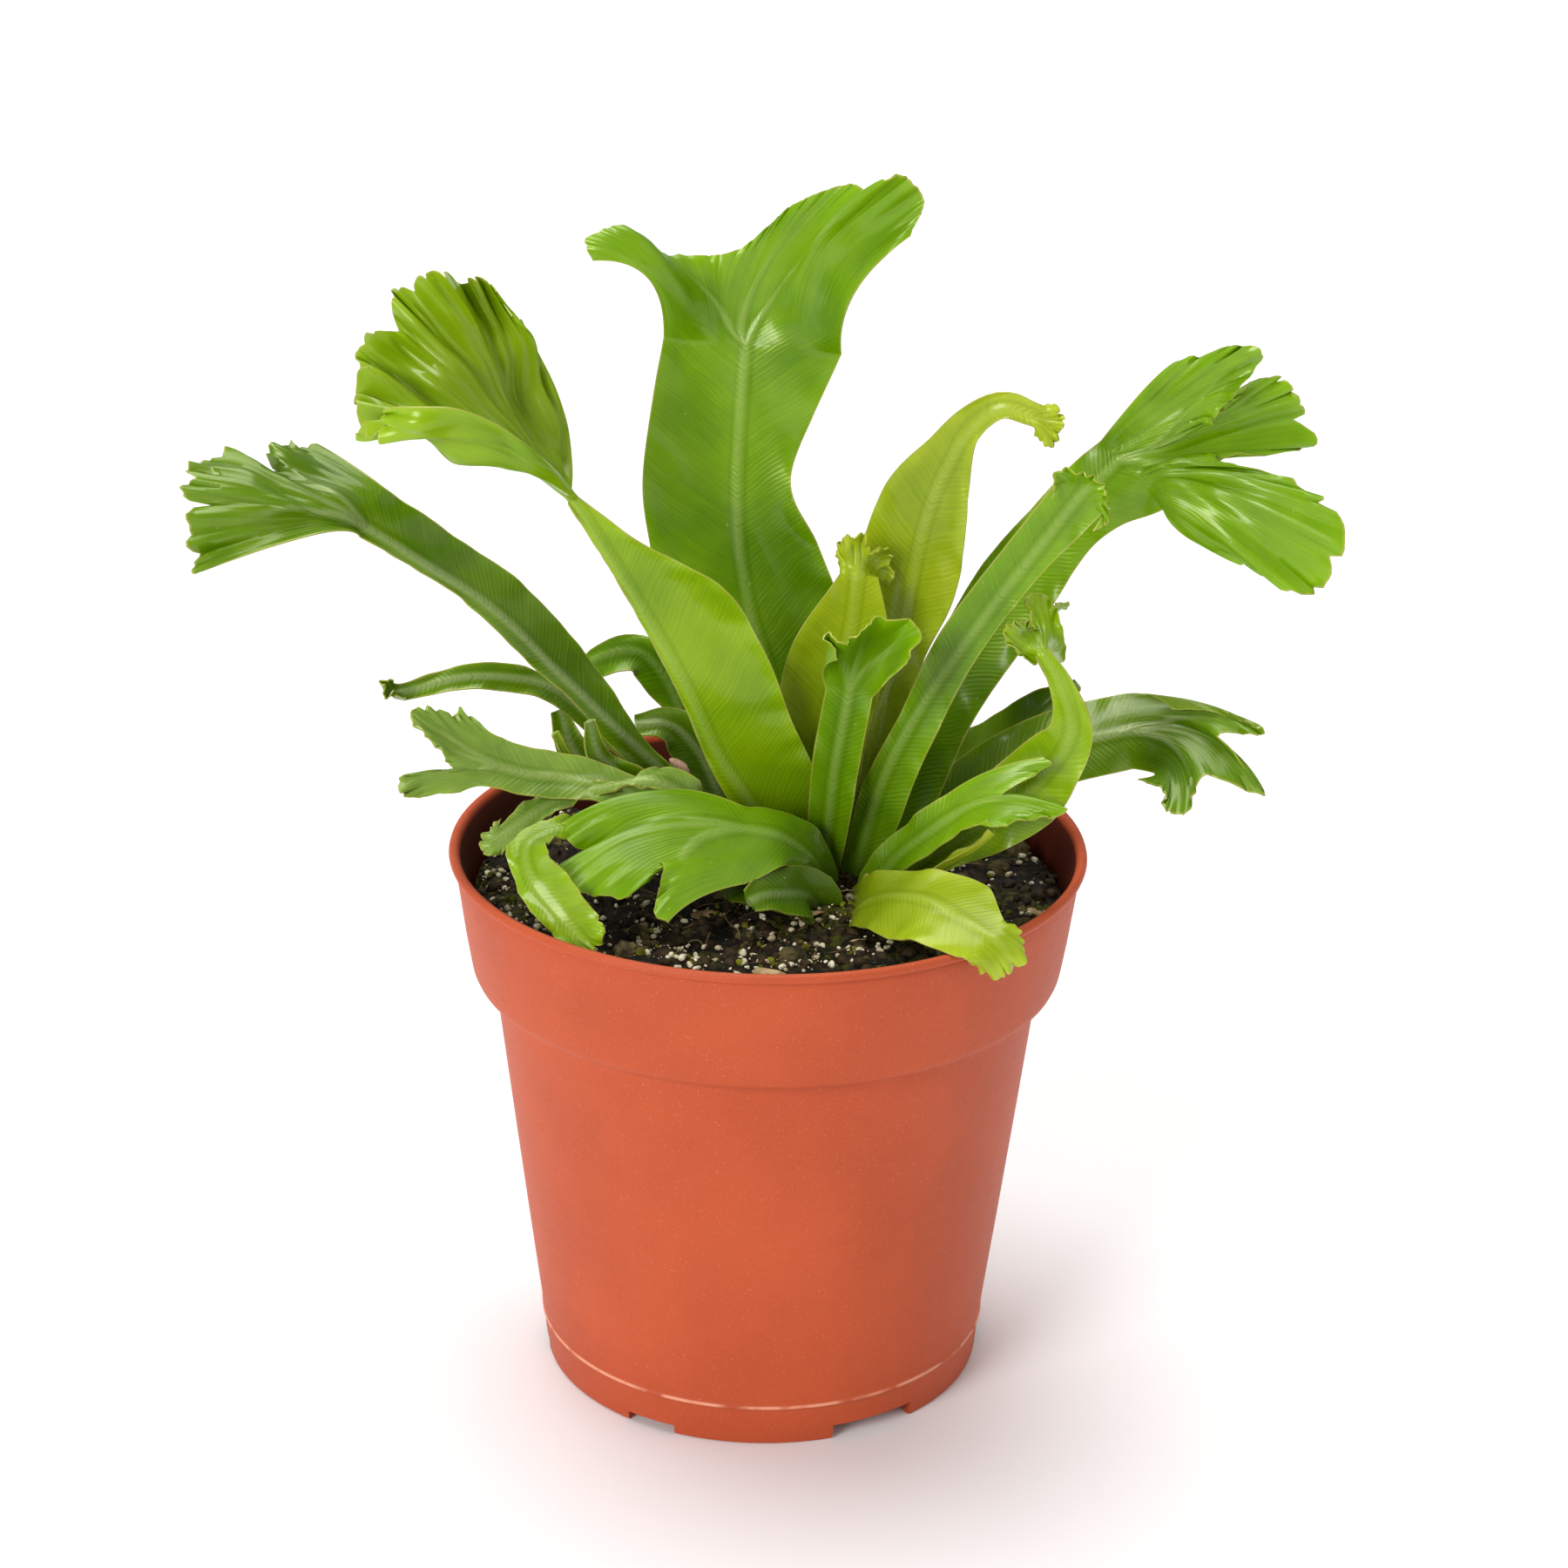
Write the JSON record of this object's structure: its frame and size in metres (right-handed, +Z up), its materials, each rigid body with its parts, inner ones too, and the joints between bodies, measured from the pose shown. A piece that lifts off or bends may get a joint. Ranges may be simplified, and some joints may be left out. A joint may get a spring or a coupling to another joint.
{
  "type": "potted fern",
  "caption": "Crested bird's-nest fern with strap fronds ending in forked, ruffled crests, growing in a round tapered nursery pot with a wide collar.",
  "frame": {"origin": "centre of the object's footprint, on the pot's axis at the plane it stands on", "axes": "+Z up along the pot's axis, -Y towards the front, where the lowest front frond hangs over the lip"},
  "size_m": [0.1869, 0.1155, 0.2028],
  "materials": {
    "pot": "matte moulded plastic, terracotta coloured",
    "potting_mix": "dark moist peat and bark with white and tan grains",
    "crown": "dark fibrous stem",
    "frond_dark": "grown blade, deep green and faintly glossy",
    "frond_fresh": "half-grown blade, bright green",
    "frond_young": "young blade, yellow-green"
  },
  "bodies": {
    "root": {"pot": "pot", "potting_mix": "potting_mix", "crown": "crown", "frond_tall": "frond_fresh", "frond_cockscomb": "frond_fresh", "frond_far_left": "frond_dark", "frond_left_mid": "frond_dark", "frond_left_fork": "frond_dark", "frond_front_left": "frond_fresh", "frond_front_fork": "frond_dark", "frond_rim_droop": "frond_dark", "frond_back_arch": "frond_dark", "frond_rear_tall": "frond_dark", "frond_rear_right": "frond_dark", "frond_rear_left": "frond_dark", "frond_rear_low": "frond_dark", "frond_back_low": "frond_dark", "leaf_left_broad": "frond_dark", "leaf_left_curled": "frond_dark", "leaf_left_pointed": "frond_dark", "frond_pale": "frond_young", "frond_new_crested": "frond_young", "frond_new_fan": "frond_fresh", "frond_right_main": "frond_fresh", "frond_right_big": "frond_dark", "frond_right_twist": "frond_young", "leaf_right_dark": "frond_dark", "frond_far_right": "frond_dark", "frond_right_short": "frond_fresh", "sprout_yellow": "frond_young", "frond_front_right": "frond_young", "leaf_front_dark": "frond_dark", "leaf_front_low": "frond_dark"}
  },
  "joints": []
}
